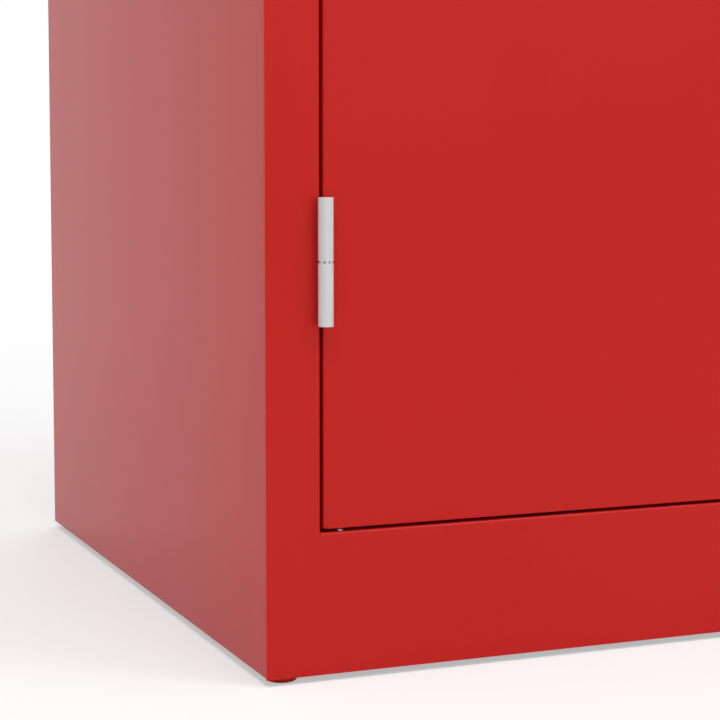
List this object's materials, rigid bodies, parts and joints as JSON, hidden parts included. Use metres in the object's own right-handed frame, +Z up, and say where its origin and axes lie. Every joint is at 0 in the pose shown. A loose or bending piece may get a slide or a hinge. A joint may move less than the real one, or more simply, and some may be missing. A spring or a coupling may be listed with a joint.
{
  "type": "side locker",
  "caption": "Painted sheet-steel locker with a flush hinged door, geared rod lock, turning handle, hung shelves and levelling feet.",
  "frame": {"origin": "on the floor, in the middle of the overall footprint", "axes": "+Z up, front towards -Y, +X to the right seen from the front"},
  "size_m": [0.5, 0.616, 1],
  "materials": {
    "red_paint": "satin powder coat",
    "pale_grey": "matt pale grey coating",
    "zinc": "bright zinc plate",
    "galvanised": "galvanised, dull",
    "satin_nickel": "satin nickel plate",
    "black_rubber": "matt"
  },
  "bodies": {
    "carcass": {"front_frame": "red_paint", "left_side_panel": "red_paint", "right_side_panel": "red_paint", "back_panel": "red_paint", "top_panel": "red_paint", "floor_panel": "red_paint", "sill_rivet_left": "zinc", "sill_rivet_right": "zinc", "strike_strip": "red_paint", "door_buffer_lower": "black_rubber", "door_buffer_upper": "black_rubber", "base_rail_left": "red_paint", "base_rail_right": "red_paint", "foot_nut_front_left": "zinc", "foot_nut_front_right": "zinc", "foot_nut_rear_left": "zinc", "foot_nut_rear_right": "zinc", "shelf_upright_front_left": "red_paint", "shelf_upright_front_right": "red_paint", "shelf_upright_rear_left": "red_paint", "shelf_upright_rear_right": "red_paint", "shelf_lower": "galvanised", "shelf_upper": "galvanised", "shelf_clip_lower_front_left": "zinc", "shelf_clip_lower_front_right": "zinc", "shelf_clip_lower_rear_left": "zinc", "shelf_clip_lower_rear_right": "zinc", "shelf_clip_upper_front_left": "zinc", "shelf_clip_upper_front_right": "zinc", "shelf_clip_upper_rear_left": "zinc", "shelf_clip_upper_rear_right": "zinc", "hinge_frame_leaf_lower": "pale_grey", "hinge_pin_lower": "zinc", "hinge_washer_lower": "pale_grey", "hinge_frame_leaf_upper": "pale_grey", "hinge_pin_upper": "zinc", "hinge_washer_upper": "pale_grey"},
    "door": {"door_skin": "red_paint", "door_stiffener": "red_paint", "hinge_door_leaf_lower": "pale_grey", "hinge_door_leaf_upper": "pale_grey", "lock_case": "zinc", "handle_rosette": "satin_nickel", "rod_guide_upper": "zinc", "rod_guide_lower": "zinc"},
    "handle": {"turn_handle": "satin_nickel", "lock_spindle": "zinc", "drive_pinion": "zinc", "latch_tongue": "zinc", "spindle_nut": "zinc"},
    "lock_plug": {"lock_plug": "zinc"},
    "upper_rod": {"upper_rod": "zinc"},
    "lower_rod": {"lower_rod": "zinc"},
    "foot_front_left": {"levelling_foot_front_left": "red_paint"},
    "foot_front_right": {"levelling_foot_front_right": "red_paint"},
    "foot_rear_left": {"levelling_foot_rear_left": "red_paint"},
    "foot_rear_right": {"levelling_foot_rear_right": "red_paint"}
  },
  "joints": [
    {"name": "door_swing", "type": "hinge", "parent": "carcass", "child": "door", "pos_m": [-0.2126, -0.2776, 0.5296], "axis": [0, 0, -1], "range_deg": [0, 180]},
    {"name": "handle_turn", "type": "hinge", "parent": "door", "child": "handle", "pos_m": [0.16, -0.292, 0.545], "axis": [0, -1, 0], "range_deg": [0, 90]},
    {"name": "key_turn", "type": "hinge", "parent": "handle", "child": "lock_plug", "pos_m": [0.16, -0.292, 0.545], "axis": [0, -1, 0], "range_deg": [0, 90]},
    {"name": "upper_rod_throw", "type": "slide", "parent": "door", "child": "upper_rod", "axis": [0, 0, 1], "range_m": [0, 0.01885]},
    {"name": "lower_rod_throw", "type": "slide", "parent": "door", "child": "lower_rod", "axis": [0, 0, -1], "range_m": [0, 0.01886]},
    {"name": "foot_front_left_level", "type": "slide", "parent": "carcass", "child": "foot_front_left", "axis": [0, 0, -1], "range_m": [0, 0.012]},
    {"name": "foot_front_right_level", "type": "slide", "parent": "carcass", "child": "foot_front_right", "axis": [0, 0, -1], "range_m": [0, 0.012]},
    {"name": "foot_rear_left_level", "type": "slide", "parent": "carcass", "child": "foot_rear_left", "axis": [0, 0, -1], "range_m": [0, 0.012]},
    {"name": "foot_rear_right_level", "type": "slide", "parent": "carcass", "child": "foot_rear_right", "axis": [0, 0, -1], "range_m": [0, 0.012]}
  ],
  "couplings": [
    {"joint": "handle_turn", "follows": "upper_rod_throw", "rad_per_m": 83.333},
    {"joint": "lower_rod_throw", "follows": "upper_rod_throw", "ratio": 1}
  ]
}
